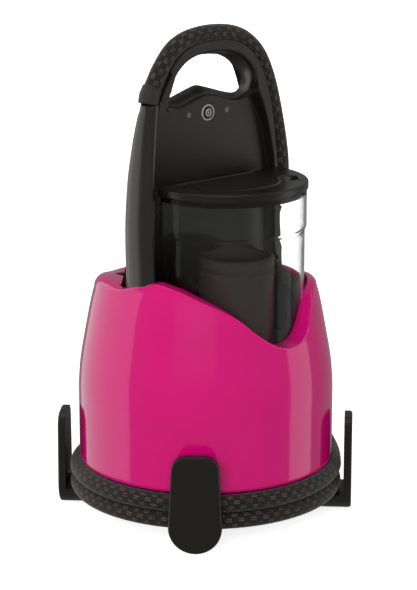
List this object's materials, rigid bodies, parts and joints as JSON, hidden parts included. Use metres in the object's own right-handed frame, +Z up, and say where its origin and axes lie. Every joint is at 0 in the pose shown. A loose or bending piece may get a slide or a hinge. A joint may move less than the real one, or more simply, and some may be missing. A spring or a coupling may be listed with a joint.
{
  "type": "garment steamer",
  "caption": "Round steam base with a lift-out water tank, a carrying arch, cord hooks, a textile hose wound round the foot and a steam head parked on the back.",
  "frame": {"origin": "on the floor under the middle of the round base, at the underside of its middle foot", "axes": "+Z up, front (water tank and control panel) towards -Y, +X to the right seen from the front"},
  "size_m": [0.2553, 0.2777, 0.43],
  "materials": {
    "pink_shell": "gloss",
    "black_satin": "satin",
    "black_gloss": "gloss",
    "grey_rubber": "satin",
    "textile_hose": "woven",
    "clear_tank": "clear",
    "indicator": "translucent",
    "filter_black": "satin",
    "black_base": "textured",
    "foot_rubber": "matte",
    "steel": "brushed",
    "bracket_metal": "satin",
    "hose_silicone": "translucent",
    "circuit_board": "satin"
  },
  "bodies": {
    "base": {"body_shell": "pink_shell", "base_tray": "black_satin", "hook_front_left": "black_satin", "hook_front_right": "black_satin", "hook_back_left": "black_satin", "hook_back_right": "black_satin", "bay_liner": "black_satin", "rear_deck": "black_satin", "tower_frame": "black_satin", "tower_back_cover": "black_satin", "control_panel": "black_satin", "holster": "black_satin", "riser_tube": "black_gloss", "riser_collar": "grey_rubber", "hose_over_arch": "textile_hose", "hose_coil": "textile_hose", "hose_tail": "textile_hose", "button_light_ring": "indicator", "steam_indicator_lens": "indicator", "ready_indicator_lens": "indicator", "bottom_plate": "black_base", "water_pump": "black_base", "solenoid_valve": "black_base", "power_inlet": "black_base", "button_switch": "black_base", "thermostat": "black_base", "rubber_feet": "foot_rubber", "pump_mounts": "foot_rubber", "tank_seal": "foot_rubber", "base_screws": "steel", "tower_screws": "steel", "boiler": "steel", "heating_element": "steel", "steam_pipe": "steel", "boiler_bracket": "bracket_metal", "feed_pipe": "hose_silicone", "control_board": "circuit_board"},
    "power_button": {"power_button": "black_gloss"},
    "tank": {"water_tank": "clear_tank", "tank_lid": "black_satin", "flap_hinge_pin": "steel", "filter_cartridge": "filter_black", "valve_cage": "filter_black", "tank_valve_spring": "steel"},
    "filler_flap": {"filler_flap": "black_satin"},
    "tank_valve": {"tank_valve": "filter_black"},
    "steam_head": {"head_handle": "black_satin", "head_shell": "black_satin", "steam_plate": "steel", "head_valve": "black_base", "hose_sleeve": "grey_rubber"},
    "steam_trigger": {"steam_trigger": "black_gloss"}
  },
  "joints": [
    {"name": "power_button_press", "type": "slide", "parent": "base", "child": "power_button", "axis": [0, 1, 0], "range_m": [0, 0.001], "stiffness_N_per_m": 400, "springref_m": -0.001},
    {"name": "tank_lift", "type": "slide", "parent": "base", "child": "tank", "axis": [0, 0, 1], "range_m": [0, 0.085]},
    {"name": "filler_flap_hinge", "type": "hinge", "parent": "tank", "child": "filler_flap", "pos_m": [0, -0.0215, 0.2982], "axis": [-1, 0, 0], "range_deg": [0, 85]},
    {"name": "tank_valve_slide", "type": "slide", "parent": "tank", "child": "tank_valve", "axis": [0, 0, 1], "range_m": [0, 0.003], "stiffness_N_per_m": 80, "springref_m": -0.004, "deforming": ["tank_valve_spring"]},
    {"name": "steam_head_lift", "type": "slide", "parent": "base", "child": "steam_head", "axis": [0, 0, 1], "range_m": [0, 0.045]},
    {"name": "steam_trigger_pivot", "type": "hinge", "parent": "steam_head", "child": "steam_trigger", "pos_m": [0.09764, 0.12498, 0.258], "axis": [-0.788, 0.6157, 0], "range_deg": [0, 7], "stiffness_Nm_per_rad": 0.3, "springref_deg": -8.59}
  ]
}
